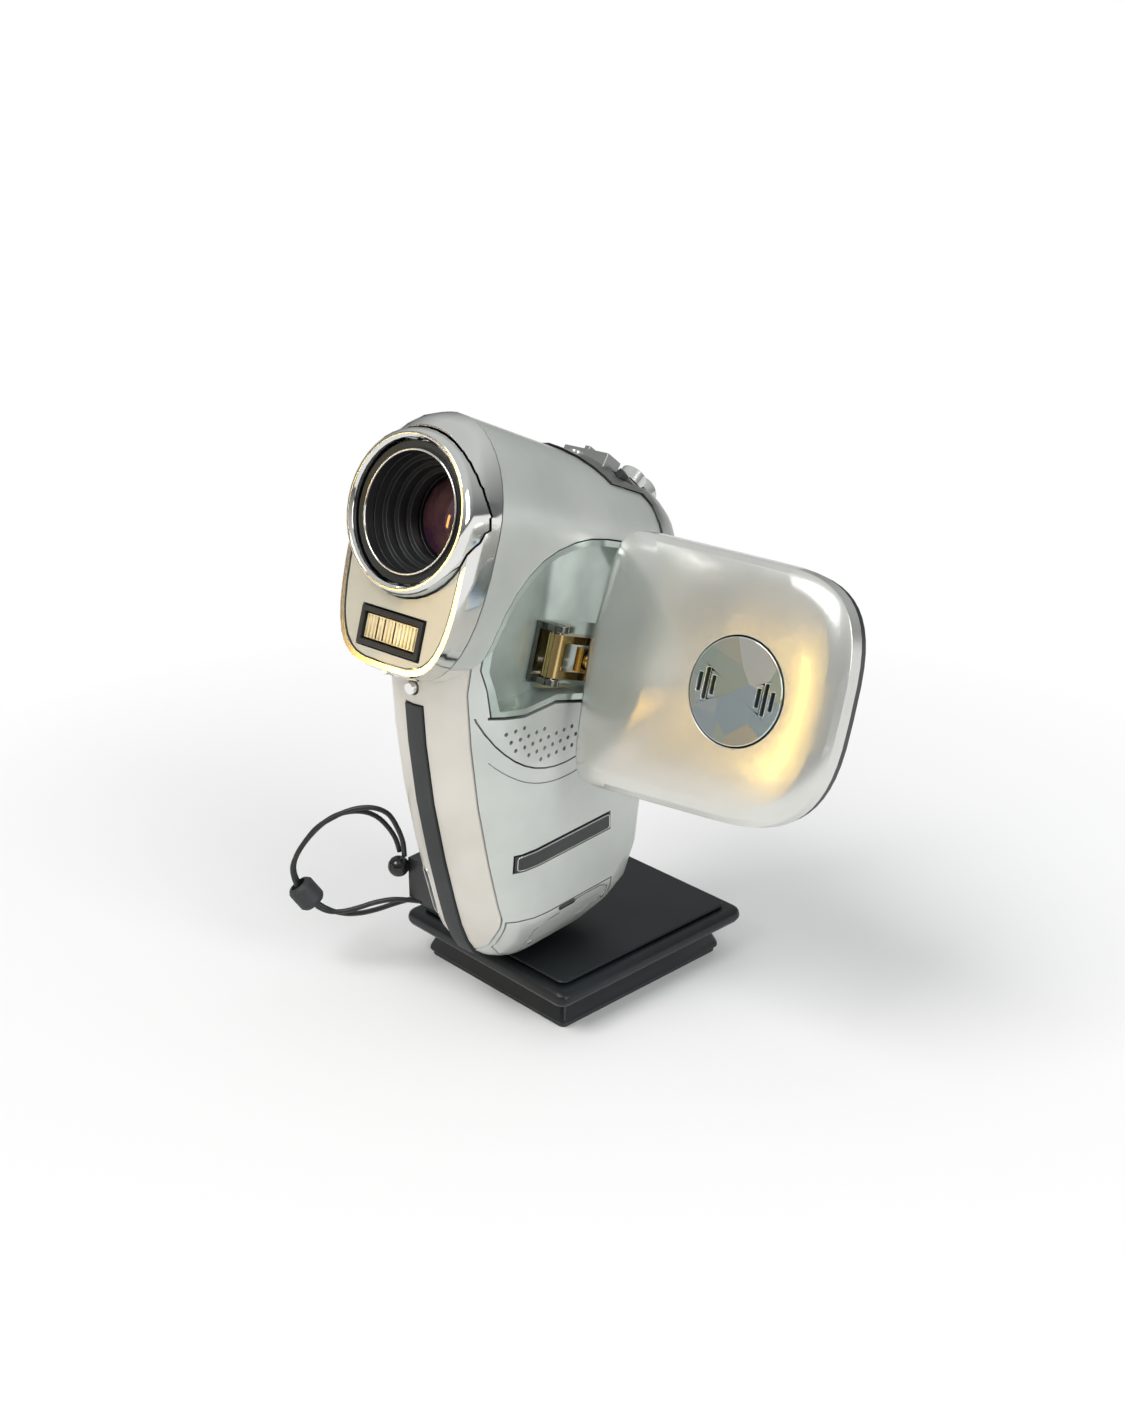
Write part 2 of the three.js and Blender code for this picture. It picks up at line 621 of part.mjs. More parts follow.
function buildHinge() {
  const lugTop = LINK_HALF + GAP + 1.2;
  const bracket = [-1, 1]
    .map((side) => {
      const low = side > 0 ? LINK_HALF + GAP : -lugTop;
      const lug = upright(LINK_PIN, low, low + 1.2, BARREL_RADIUS);
      const foot = block(
        [POCKET_FLOOR + GAP, LINK_PIN.s - BARREL_RADIUS, HINGE_HEIGHT + low],
        [LINK_PIN.x, LINK_PIN.s + BARREL_RADIUS, HINGE_HEIGHT + low + 1.2],
      );
      return lug.add(foot);
    })
    .reduce((all, next) => all.add(next))
    .add(
      block(
        [POCKET_FLOOR + GAP, LINK_PIN.s - BARREL_RADIUS, HINGE_HEIGHT - lugTop],
        [POCKET_FLOOR + GAP + 0.8, LINK_PIN.s + BARREL_RADIUS, HINGE_HEIGHT + lugTop],
      ),
    )
    .subtract(upright(LINK_PIN, -lugTop - 1, lugTop + 1, PIN_RADIUS + GAP));
  piece("hinge_bracket", bracket, CHROME, head);
  piece("hinge_pin_body", upright(LINK_PIN, -lugTop, lugTop, PIN_RADIUS), CHROME, head);

  const knuckleHalf = LINK_HALF - 1.4 - GAP;
  const across = LINK_END.x - LINK_PIN.x;
  const along = LINK_END.s - LINK_PIN.s;
  const lean = new THREE.Matrix4().makeRotationZ(-Math.atan2(across, along));
  const bar = (low) =>
    block(
      [-BARREL_RADIUS, 0, low],
      [BARREL_RADIUS, Math.hypot(across, along), low + 1.4],
      move(LINK_PIN.x, LINK_PIN.s, HINGE_HEIGHT).multiply(lean),
    ).add(upright(LINK_END, low, low + 1.4, BARREL_RADIUS));
  const link = upright(LINK_PIN, -LINK_HALF, LINK_HALF, BARREL_RADIUS)
    .add(bar(-LINK_HALF))
    .add(bar(LINK_HALF - 1.4))
    .subtract(upright(LINK_PIN, -9, 9, PIN_RADIUS + GAP))
    .subtract(upright(LINK_END, -9, 9, PIN_RADIUS + GAP));
  piece("hinge_link", link, CHROME, head);
  piece("hinge_pin_screen", upright(LINK_END, -LINK_HALF, LINK_HALF, PIN_RADIUS), CHROME, head);

  const plate = block(
    [SCREEN_START - GAP - 1.6, SCREEN_PLANE - 2.6, HINGE_HEIGHT - knuckleHalf],
    [SCREEN_START - GAP, LINK_END.s, HINGE_HEIGHT + knuckleHalf],
  );
  const knuckle = upright(LINK_END, -knuckleHalf, knuckleHalf, BARREL_RADIUS)
    .add(plate)
    .subtract(upright(LINK_END, -9, 9, PIN_RADIUS + GAP))
    .add(rod([SCREEN_START - GAP - 0.8, SCREEN_PLANE, HINGE_HEIGHT], 8, 1.5, "x"));
  piece("hinge_knuckle", knuckle, BRASS, head);
}

// Outline of the screen at distance s: a bowed hinge edge, a bottom edge that rises towards
// the free end, and larger corners there.
const DISC = { x: SCREEN_START + DISC_TO_HINGE, h: HINGE_HEIGHT + DISC_RISE };
function screenRing(s, inset, points = 56) {
  const ring = [];
  for (let i = 0; i < points; i++) {
    const angle = (2 * Math.PI * i) / points;
    const free = Math.cos(angle) > 0;
    const upper = Math.sin(angle) > 0;
    const freeExponent = upper ? 3.3 : 2.9;
    const exponent = free ? freeExponent : 14;
    const reach = (free ? DISC_TO_END : DISC_TO_HINGE) - inset;
    let x = power(Math.cos(angle), 2 / exponent) * reach;
    let z = power(Math.sin(angle), 2 / exponent) * (SCREEN.height / 2 - inset);
    if (!upper) z *= 1 - (SCREEN.taper * x) / (SCREEN.height / 2);
    if (!free) x += SCREEN.bow * (2 * z / SCREEN.height) ** 2 * (x / reach) ** 4;
    ring.push([DISC.x + x, s, DISC.h + z]);
  }
  return ring;
}

const DISPLAY = { toHinge: 26, toEnd: DISC_TO_END - 5.5, half: 15.5 };
const displayBox = (inset, from, to) =>
  block(
    [DISC.x - DISPLAY.toHinge + inset, from, DISC.h - DISPLAY.half + inset],
    [DISC.x + DISPLAY.toEnd - inset, to, DISC.h + DISPLAY.half - inset],
  );

function buildScreen() {
  const front = SCREEN_PLANE - SCREEN.thickness / 2;
  const back = SCREEN_PLANE + SCREEN.thickness / 2;
  const joint = front + 4.2; // the silver cover meets the black frame here
  const shaftHole = rod([SCREEN_START - 1, SCREEN_PLANE, HINGE_HEIGHT], 12, 1.5 + GAP, "x");
  const discRod = (from, length, radius) => rod([DISC.x, from, DISC.h], length, radius, "y", undefined, 40);

  const dome = loft([
    screenRing(front, 3.6),
    screenRing(front + 0.5, 1.3),
    screenRing(front + 1.5, 0.2),
    screenRing(joint, 0),
  ]);
  const hollow = loft([screenRing(front + 1.4, 4), screenRing(joint + 1, 1.4)]);
  const cover = dome
    .subtract(hollow)
    .subtract(discRod(front - 1, 4, SCREEN.discRadius + GAP))
    .subtract(shaftHole);
  piece("screen_cover", cover, SILVER, head);

  const frame = loft([screenRing(joint + GAP, 0.3), screenRing(back - 1, 0.3), screenRing(back, 1.2)])
    .subtract(loft([screenRing(joint, 1.8), screenRing(back - 1.3, 1.8)]))
    .subtract(displayBox(0, back - 2, back + 1))
    .subtract(shaftHole);
  piece("screen_frame", frame, BLACK, head);

  piece("display_glass", displayBox(GAP, back - 1.1, back - 0.3), GLASS, head);
  piece("display_module", displayBox(1, back - 3.2, back - 1.4), BLACK, head);

  const slots = [-1, 1].flatMap((side) =>
    [-1, 0, 1].map((step) => {
      const x = DISC.x + side * 5.9 + step * 1.35;
      const half = step === 0 ? 2.7 : 1.6;
      return block([x - 0.35, front - 1, DISC.h - half], [x + 0.35, front + 3, DISC.h + half]);
    }),
  );
  const allSlots = slots.reduce((all, next) => all.add(next));
  const badge = discRod(front - 0.2, 1.5, SCREEN.discRadius).subtract(allSlots);
  piece("microphone_disc", badge, CHROME, head);
  piece("microphone_mesh", discRod(front + 1.6, 0.8, SCREEN.discRadius - 0.6), BLACK, head);
}

// ---- Inside the grip ----
const CARD = { y0: -28.3, y1: -4.3, z1: 51.6 };

function buildInside() {
  piece("main_board", block([0.4, -30, 24], [1.8, 5, 62]), BOARD);
  piece("battery", block([-10.2, -27, 31], [-2.8, -1, 64]), BATTERY_GREY);
  const cage = block([4.6, CARD.y0 - 1, 24], [8.4, CARD.y1 + 1, CARD.z1 + 1]);
  const cavity = block([5.1, CARD.y0 - GAP, 20], [7.8, CARD.y1 + GAP, CARD.z1 + GAP]);
  piece("card_slot", cage.subtract(cavity), STEEL);
  piece("memory_card", block([5.4, CARD.y0, CARD.z1 - 32], [7.5, CARD.y1, CARD.z1]), BLACK);
}

// ---- Stand ----
function standRing(z, halfX, halfY, corner = 2, steps = 3) {
  const ring = [];
  const quarters = [
    [1, 1, 0],
    [-1, 1, 1],
    [-1, -1, 2],
    [1, -1, 3],
  ];
  for (const [signX, signY, from] of quarters) {
    for (let i = 0; i <= steps; i++) {
      const angle = (Math.PI / 2) * (from + i / steps);
      ring.push([
        signX * (halfX - corner) + corner * Math.cos(angle),
        signY * (halfY - corner) + corner * Math.sin(angle),
        z,
      ]);
    }
  }
  return ring;
}
const ledge = (z, inset, corner) => standRing(z, STAND_HALF.x - inset, STAND_HALF.y - inset, corner);

function buildStand() {
  const footTop = 6.4;
  piece("stand_base_sheet", loft([ledge(0, 3.8, 1), ledge(0.7, 3.8, 1)]), RUBBER, stand);
  const foot = loft([ledge(1, 3.3, 1), ledge(1.9, 3.3, 1), ledge(footTop, 5.2, 1)]);
  piece("stand_foot", foot, STAND_BLACK, stand);
  const plate = loft([
    ledge(footTop + GAP, 1, 1.6),
    ledge(footTop + 1.2, 0, 2),
    ledge(STAND_TOP - 0.8, 0, 2),
    ledge(STAND_TOP, 0.9, 1.6),
  ]);
  piece("stand_plate", plate, STAND_BLACK, stand);
  const pad = loft([
    ledge(STAND_TOP + GAP, 2.6, 1.6),
    ledge(PAD_TOP - 0.2, 2.6, 1.6),
    ledge(PAD_TOP, 2.8, 1.4),
  ]);
  piece("stand_pad", pad, STAND_BLACK, stand);
}

// ---- Wrist strap: one cord doubled through a bead ----
const KNOT = { at: [-18.8, -29.7, 24.6], radius: 2.1 };
const BEAD = { low: [-31.2, -40.5, 16.6], high: [-33.5, -42.5, 20.7], radius: 2.7, bore: 1.6 };
const STRANDS = {
  strap_cord_front: [
    [-17.4, -29.4, 27.1],
    [-17.5, -29.6, 30.2],
    [-18.2, -30.2, 33.1],
    [-19.4, -31.1, 35.8],
    [-21.1, -32.6, 37.1],
    [-23.3, -34.3, 37.2],
    [-25.6, -36.2, 36.4],
    [-27.7, -38, 35],
    [-29.6, -39.9, 33.3],
    [-31.2, -41.4, 30.8],
    [-32.7, -42.8, 27.6],
    [-33.6, -43.5, 24.3],
    [-33.1, -43, 20.7],
    [-31.8, -41.9, 18.5],
    [-30.6, -40.9, 16.6],
    [-29, -39.4, 15.2],
    [-26.9, -37.4, 15],
    [-24.6, -35.4, 15.8],
    [-22.2, -33.3, 16.9],
    [-19.6, -31, 17.6],
    [-17.1, -28.7, 17.4],
    [-15.5, -27, 17],
  ],
  strap_cord_back: [
    [-19.2, -28.9, 27.3],
    [-19.8, -29.3, 30],
    [-20.9, -30.2, 32.5],
    [-22.4, -31.5, 34.6],
    [-24.4, -33.1, 35.6],
    [-26.7, -35.1, 35.5],
    [-28.9, -36.9, 34.4],
    [-31, -38.8, 32.2],
    [-32.8, -40.5, 29.4],
    [-34.2, -41.8, 26.4],
    [-34.8, -42.2, 23.4],
    [-34.1, -41.9, 20.7],
    [-32.8, -40.9, 18.5],
    [-31.7, -40, 16.6],
    [-29.8, -38.2, 14.7],
    [-27.6, -36.2, 13.8],
    [-25.2, -34, 13.9],
    [-22.8, -31.8, 14.7],
    [-20.5, -29.6, 15.8],
    [-18.6, -27.9, 16.6],
    [-17.1, -26.5, 17],
  ],
};

// A round cord along a smooth line through the points.
function cord(points) {
  const path = new THREE.CatmullRomCurve3(points.map((p) => new THREE.Vector3(...p)));
  const section = new THREE.Shape();
  for (let i = 0; i <= 8; i++) {
    const angle = (Math.PI * i) / 4;
    const place = [CORD_RADIUS * Math.cos(angle), CORD_RADIUS * Math.sin(angle)];
    if (i === 0) section.moveTo(...place);
    else section.lineTo(...place);
  }
  return new THREE.ExtrudeGeometry(section, { steps: 32, extrudePath: path, bevelEnabled: false });
}

// A turned barrel between two points.
function barrelBetween(low, high, profile, sides = 20) {
  const from = new THREE.Vector3(...low);
  const along = new THREE.Vector3(...high).sub(from);
  const points = profile.map(([radius, share]) => new THREE.Vector2(radius, share * along.length()));
  const geometry = new THREE.LatheGeometry(points, sides);
  const turn = new THREE.Quaternion().setFromUnitVectors(new THREE.Vector3(0, 1, 0), along.normalize());
  return solid(geometry.applyQuaternion(turn).translate(...from));
}

function buildStrap() {
  const clip = block([-17.5, -28.4, 18], [-8, -22.6, 26.4]).subtract(casingForm(-GAP));
  piece("strap_clip", clip, BLACK);
  const anchor = block([-17.8, -26.2, 15.6], [-8, -22.8, 18 - GAP]).subtract(casingForm(-GAP));
  piece("strap_anchor", anchor, BLACK);
  const knot = new THREE.SphereGeometry(KNOT.radius, 16, 10).translate(...KNOT.at);
  piece("strap_knot", solid(knot).subtract(block([-17.5 - GAP, -28.4 - GAP, 18], [-8, -22, 30])), BLACK);
  const bead = barrelBetween(BEAD.low, BEAD.high, [
    [BEAD.bore, 0],
    [BEAD.radius - 0.6, 0],
    [BEAD.radius, 0.15],
    [BEAD.radius, 0.85],
    [BEAD.radius - 0.6, 1],
    [BEAD.bore, 1],
    [BEAD.bore, 0],
  ]);
  piece("strap_bead", bead, RUBBER);
  for (const [name, points] of Object.entries(STRANDS)) piece(name, cord(points), BLACK);
}

buildCasing();
buildBezel();
buildLens();
buildFlash();
buildControls();
buildSide();
buildHinge();
buildScreen();
buildInside();
buildStand();
buildStrap();

export default root;
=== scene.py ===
import math

import bmesh
import bpy
from mathutils import Matrix, Vector
from mathutils.bvhtree import BVHTree


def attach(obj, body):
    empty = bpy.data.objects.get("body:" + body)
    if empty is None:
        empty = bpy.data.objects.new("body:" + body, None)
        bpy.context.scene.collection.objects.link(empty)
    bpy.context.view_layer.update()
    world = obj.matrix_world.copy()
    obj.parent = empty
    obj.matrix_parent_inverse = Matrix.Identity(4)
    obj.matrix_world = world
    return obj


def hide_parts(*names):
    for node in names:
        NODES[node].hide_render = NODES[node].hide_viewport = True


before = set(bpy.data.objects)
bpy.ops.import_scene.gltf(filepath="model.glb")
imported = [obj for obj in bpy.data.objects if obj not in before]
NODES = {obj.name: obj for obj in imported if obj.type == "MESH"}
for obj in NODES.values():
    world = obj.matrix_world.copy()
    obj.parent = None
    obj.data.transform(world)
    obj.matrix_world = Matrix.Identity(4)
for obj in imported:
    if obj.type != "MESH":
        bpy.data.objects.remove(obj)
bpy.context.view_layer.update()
scene = bpy.context.scene
MM = 0.001  # metres

# ---- Camera ----
AZIMUTH, ELEVATION, DISTANCE = math.radians(41), math.radians(22.32), 0.34478
TARGET = Vector((-0.00306, 0, 0.05335))
LENS_LENGTH, SENSOR = 46.09, 36
back = Vector((
    math.sin(AZIMUTH) * math.cos(ELEVATION),
    -math.cos(AZIMUTH) * math.cos(ELEVATION),
    math.sin(ELEVATION),
))
camera_data = bpy.data.cameras.new("camera")
camera_data.lens = LENS_LENGTH
camera_data.sensor_width = SENSOR
camera = bpy.data.objects.new("camera", camera_data)
camera.location = TARGET + back * DISTANCE
camera.rotation_mode = "QUATERNION"
camera.rotation_quaternion = (-back).to_track_quat("-Z", "Y")
camera_data.clip_start, camera_data.clip_end = 0.01, 20
scene.collection.objects.link(camera)
scene.camera = camera

# ---- Frame of the head: x across, s back along the barrel, h up across it ----
TILT = math.radians(-18)
HEAD = Matrix.Translation((0, -0.0432, 0.1015)) @ Matrix.Rotation(TILT, 4, "X")


def head(x, s, h):
    """A point of the head's frame, in millimetres there, in metres here."""
    return HEAD @ Vector((x * MM, s * MM, h * MM))


# ---- Materials ----
def material(name, colour, metallic=0.0, roughness=0.4, **sockets):
    made = bpy.data.materials.new(name)
    made.use_nodes = True
    shader = made.node_tree.nodes["Principled BSDF"]
    shader.inputs["Base Color"].default_value = (*colour, 1)
    shader.inputs["Metallic"].default_value = metallic
    shader.inputs["Roughness"].default_value = roughness
    for key, value in sockets.items():
        shader.inputs[key.replace("_", " ")].default_value = value
    return made


def node(mat, kind, **settings):
    made = mat.node_tree.nodes.new(kind)
    for key, value in settings.items():
        setattr(made, key, value)
    return made


def link(mat, source, target):
    mat.node_tree.links.new(source, target)


def noise(mat, scale, detail=3.0):
    """A noise in the object's own coordinates, which are the row frame's."""
    place = node(mat, "ShaderNodeTexCoord")
    made = node(mat, "ShaderNodeTexNoise")
    made.inputs["Scale"].default_value = scale
    made.inputs["Detail"].default_value = detail
    link(mat, place.outputs["Object"], made.inputs["Vector"])
    return made.outputs["Fac"]


def ramp(mat, source, stops):
    made = node(mat, "ShaderNodeValToRGB")
    elements = made.color_ramp.elements
    for i, (at, colour) in enumerate(stops):
        element = elements[i] if i < 2 else elements.new(at)
        element.position = at
        element.color = (*colour, 1)
    link(mat, source, made.inputs["Fac"])
    return made.outputs["Color"]


def textured(name, dark, light, metallic, rough, grain, bump=0.08, spread=0.05, large=60, **sockets):
    """Broad colour variation, fine grain in roughness and bump."""
    made = material(name, light, metallic, rough, **sockets)
    shader = made.node_tree.nodes["Principled BSDF"]
    link(made, ramp(made, noise(made, large), [(0.3, dark), (0.7, light)]), shader.inputs["Base Color"])
    fine = noise(made, grain, 2)
    spot = node(made, "ShaderNodeMapRange")
    spot.inputs["To Min"].default_value = max(0.02, rough - spread)
    spot.inputs["To Max"].default_value = rough + spread
    link(made, fine, spot.inputs["Value"])
    link(made, spot.outputs["Result"], shader.inputs["Roughness"])
    rough_bump = node(made, "ShaderNodeBump")
    rough_bump.inputs["Strength"].default_value = bump
    rough_bump.inputs["Distance"].default_value = 0.00005
    link(made, fine, rough_bump.inputs["Height"])
    link(made, rough_bump.outputs["Normal"], shader.inputs["Normal"])
    return made


SILVER = textured("satin_silver", (0.5, 0.525, 0.5), (0.6, 0.62, 0.59), 0.45, 0.36, 9000, Coat_Weight=0.25)
COVER = textured("screen_silver", (0.6, 0.6, 0.57), (0.7, 0.7, 0.67), 0.75, 0.25, 9000, Coat_Weight=0.4)
PEARL = textured("pearl_cream", (0.56, 0.535, 0.48), (0.66, 0.635, 0.585), 0.15, 0.34, 9000, Coat_Weight=0.35)
TRAY = textured("glossy_pale_green", (0.3, 0.36, 0.32), (0.66, 0.74, 0.69), 0.6, 0.14, 5000, 0.02, 0.03, 55)
RIM = textured("polished_rim", (0.7, 0.7, 0.68), (0.85, 0.85, 0.83), 1, 0.09, 7000, 0.02, 0.03)
GREY = textured("dark_grey_metal", (0.2, 0.21, 0.2), (0.29, 0.3, 0.29), 0.7, 0.3, 9000)
BUTTON = textured("button_silver", (0.5, 0.5, 0.48), (0.64, 0.64, 0.62), 0.8, 0.24, 8000)
DARK_CHROME = textured("dark_chrome", (0.16, 0.16, 0.15), (0.34, 0.33, 0.3), 1, 0.12, 6000, 0.02, 0.04, 400)
BLACK = textured("black_plastic", (0.012, 0.013, 0.013), (0.022, 0.023, 0.024), 0, 0.38, 8000)
GLOSS = textured("gloss_black", (0.006, 0.006, 0.007), (0.012, 0.012, 0.013), 0, 0.1, 6000, 0.02, 0.03)
RUBBER = textured("grey_rubber", (0.018, 0.021, 0.023), (0.034, 0.038, 0.04), 0, 0.62, 9000, 0.3, 0.1)
STAND = textured("satin_black", (0.003, 0.004, 0.005), (0.007, 0.01, 0.012), 0, 0.34, 7000, 0.06, 0.05,
                 Specular_IOR_Level=0.35)
GOLD = textured("flash_gold", (0.62, 0.5, 0.26), (0.86, 0.76, 0.5), 0.7, 0.2, 5000, 0.05, 0.08, 300)
BRASS = textured("warm_metal", (0.52, 0.36, 0.14), (0.78, 0.58, 0.26), 1, 0.14, 5000, 0.02, 0.04)
BOARD = textured("circuit_green", (0.01, 0.09, 0.03), (0.03, 0.17, 0.06), 0, 0.45, 2500, 0.3)
STEEL = textured("stamped_steel", (0.42, 0.43, 0.44), (0.56, 0.57, 0.58), 1, 0.3, 6000)
CELL = textured("battery_wrap", (0.03, 0.035, 0.045), (0.05, 0.055, 0.065), 0, 0.42, 6000)
LABEL = textured("label_black", (0.016, 0.017, 0.018), (0.03, 0.032, 0.034), 0, 0.32, 9000, 0.2)
LENS_GLASS = textured("lens_glass", (0.07, 0.02, 0.06), (0.16, 0.075, 0.06), 0.35, 0.06, 3000, 0.0, 0.01, 220,
                      Coat_Weight=1.0, Coat_Roughness=0.02)
WINDOW = textured("flash_lens", (0.78, 0.68, 0.42), (0.95, 0.88, 0.66), 0.1, 0.12, 3000, 0.1, 0.04, 500,
                  Transmission_Weight=0.3, IOR=1.3)
SCREEN_GLASS = textured("display_glass", (0.008, 0.01, 0.012), (0.016, 0.019, 0.022), 0, 0.06, 3000,
                        0.0, 0.01)

# Polished disc: broad flat patches of pale blue, white, grey-green and peach, painted reflections such as
# pressed metal facets would catch.
DISC_PAINTED_REFLECTIONS = material("disc_painted_reflections", (0.8, 0.8, 0.78), 0.9, 0.12)
disc_shader = DISC_PAINTED_REFLECTIONS.node_tree.nodes["Principled BSDF"]
disc_place = node(DISC_PAINTED_REFLECTIONS, "ShaderNodeTexCoord")
disc_reflection_cells = node(DISC_PAINTED_REFLECTIONS, "ShaderNodeTexVoronoi")
disc_reflection_cells.inputs["Scale"].default_value = 130
link(DISC_PAINTED_REFLECTIONS, disc_place.outputs["Object"], disc_reflection_cells.inputs["Vector"])
disc_reflection_split = node(DISC_PAINTED_REFLECTIONS, "ShaderNodeSeparateColor")
link(DISC_PAINTED_REFLECTIONS, disc_reflection_cells.outputs["Color"], disc_reflection_split.inputs["Color"])
link(DISC_PAINTED_REFLECTIONS, ramp(DISC_PAINTED_REFLECTIONS, disc_reflection_split.outputs["Red"], [
    (0.1, (0.42, 0.6, 0.78)), (0.9, (0.92, 0.8, 0.66)), (0.45, (0.93, 0.95, 0.93)), (0.7, (0.62, 0.72, 0.66)),
]), disc_shader.inputs["Base Color"])

FINISHES = {
    SILVER: "left_shell right_shell card_door battery_door front_plate speaker_grille",
    PEARL: "front_cover",
    TRAY: "screen_recess",
    RIM: "front_bezel lens_ring front_screw_upper front_screw_lower",
    DISC_PAINTED_REFLECTIONS: "microphone_disc",
    COVER: "screen_cover",
    GREY: "control_panel zoom_rocker",
    BUTTON: "photo_button record_button menu_button power_button",
    DARK_CHROME: "hinge_bracket hinge_pin_body hinge_pin_screen",
    BLACK: "lens_baffle lens_trim_ring zoom_barrel flash_frame mode_switch speaker microphone_mesh "
           "screen_frame display_module memory_card strap_clip strap_anchor",
    GLOSS: "strap_knot",
    RUBBER: "grip_strip strap_bead stand_base_sheet",
    STAND: "stand_foot stand_plate stand_pad",
    GOLD: "flash_reflector",
    BRASS: "hinge_knuckle hinge_link",
    BOARD: "sensor_board main_board",
    STEEL: "card_slot",
    CELL: "battery",
    LABEL: "label_plate",
    LENS_GLASS: "front_lens rear_lens flash_tube",
    WINDOW: "flash_window",
    SCREEN_GLASS: "display_glass",
}
WELD_WITHIN, PLAIN_BEVEL, BEVEL_ANGLE = 0.002, 0.15, math.radians(30)
BEVELS = {"stand_plate": 0.6, "stand_pad": 0.25, "stand_foot": 0.4, "screen_cover": 0.25, "card_door": 0.2,
          "battery_door": 0.2, "label_plate": 0.2, "hinge_link": 0.25, "hinge_bracket": 0.2}
for finish, names in FINISHES.items():
    for name in names.split():
        piece = NODES[name]
        piece.data.materials.clear()
        piece.data.materials.append(finish)
        if "custom_normal" in piece.data.attributes:
            piece.data.attributes.remove(piece.data.attributes["custom_normal"])
        for polygon in piece.data.polygons:
            polygon.use_smooth = True
        weld = piece.modifiers.new("weld", "WELD")
        weld.merge_threshold = WELD_WITHIN * MM
        bevel = piece.modifiers.new("edge", "BEVEL")
        bevel.width = BEVELS.get(name, PLAIN_BEVEL) * MM
        bevel.segments = 2
        bevel.limit_method = "ANGLE"
        bevel.angle_limit = BEVEL_ANGLE
        bevel.harden_normals = True
        bevel.use_clamp_overlap = True


# ---- Builders ----
def add(name, mesh, finish, body):
    made = bpy.data.objects.new(name, mesh)
    scene.collection.objects.link(made)
    mesh.materials.append(finish)
    for polygon in mesh.polygons:
        polygon.use_smooth = True
    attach(made, body)
    return made


def tube(name, points, radius, finish, body, closed=False, sides=10):
    """A round bead along a line of points."""
    mesh = bpy.data.meshes.new(name)
    shape = bmesh.new()
    rings = []
    count = len(points)
    normal = None
    for i, point in enumerate(points):
        before = points[i - 1] if (i or closed) else points[i]
        after = points[(i + 1) % count] if (i + 1 < count or closed) else points[i]
        along = (after - before).normalized()
        if normal is None:
            normal = along.orthogonal().normalized()
        normal = (normal - along * normal.dot(along)).normalized()
        side = along.cross(normal)
        rings.append([
            shape.verts.new(point + (normal * math.cos(2 * math.pi * k / sides)
                                     + side * math.sin(2 * math.pi * k / sides)) * radius)
            for k in range(sides)
        ])
    last = count if closed else count - 1
    for i in range(last):
        first, second = rings[i], rings[(i + 1) % count]
        for k in range(sides):
            shape.faces.new((first[k], first[(k + 1) % sides], second[(k + 1) % sides], second[k]))
    if not closed:
        shape.faces.new(list(reversed(rings[0])))
        shape.faces.new(rings[-1])
    bmesh.ops.recalc_face_normals(shape, faces=shape.faces)
    shape.to_mesh(mesh)
    shape.free()
    return add(name, mesh, finish, body)


# ---- Lines and marks laid on the casing ----
def surface(names):
    """A tree of these CAD nodes' faces, for finding their outside."""
    points, faces = [], []
    for name in names:
        mesh = NODES[name].data
        first = len(points)
        points += [v.co.copy() for v in mesh.vertices]
        faces += [[first + i for i in polygon.vertices] for polygon in mesh.polygons]
    return BVHTree.FromPolygons(points, faces)


PATCH_THICKNESS = 0.12
LEFT = surface(["left_shell", "card_door", "speaker_grille", "label_plate"])
FRONT = surface(["front_cover"])


def on_left(y, z, out=0.0):
    """The point of the left side at (y, z), in millimetres, pushed out a little."""
    hit, *_ = LEFT.ray_cast(Vector((0.05, y * MM, z * MM)), Vector((-1, 0, 0)))
    return (hit or Vector((0.0128, y * MM, z * MM))) + Vector((out * MM, 0, 0))


def on_front(x, z, out=0.0):
    """The point of the front cover at (x, z), in millimetres, pushed out a little."""
    hit, normal, *_ = FRONT.ray_cast(Vector((x * MM, -0.09, z * MM)), Vector((0, 1, 0)))
    return (hit or Vector((x * MM, -0.036, z * MM))) + (normal or Vector((0, -1, 0))) * out * MM


def patch(name, rim, finish, body):
    """A closed flat patch through a ring of points on the casing."""
    mesh = bpy.data.meshes.new(name)
    middle = sum(rim, Vector()) / len(rim)
    faces = [(i, (i + 1) % len(rim), len(rim)) for i in range(len(rim))]
    mesh.from_pydata([*rim, middle], [], faces)
    made = add(name, mesh, finish, body)
    solid = made.modifiers.new("thickness", "SOLIDIFY")
    solid.thickness = PATCH_THICKNESS * MM
    solid.offset = 0


def oblong(half_long, half_wide, count=24):
    """A stadium outline: pairs along and across."""
    ring = []
    for k in range(count):
        angle = 2 * math.pi * k / count
        along = half_wide * math.sin(angle)
        straight = half_long - half_wide
        ring.append((along + (straight if math.sin(angle) >= 0 else -straight), half_wide * math.cos(angle)))
    return ring


def rounded(y0, y1, z0, z1, corner, steps=4):
    """A rounded rectangle in the side's plane."""
    ring = []
    for cy, cz, turn in ((y1 - corner, z1 - corner, 0), (y0 + corner, z1 - corner, 1),
                         (y0 + corner, z0 + corner, 2), (y1 - corner, z0 + corner, 3)):
        for k in range(steps + 1):
            angle = math.pi / 2 * (turn + k / steps)
            ring.append((cy + corner * math.cos(angle), cz + corner * math.sin(angle)))
    return ring


def dense(ring, step=1.2):
    """More points along a closed outline, so that a line on it follows the casing."""
    line = []
    for (a, b), (c, d) in zip(ring, ring[1:] + ring[:1]):
        count = max(1, int(math.hypot(c - a, d - b) / step))
        line += [(a + (c - a) * k / count, b + (d - b) * k / count) for k in range(count)]
    return line


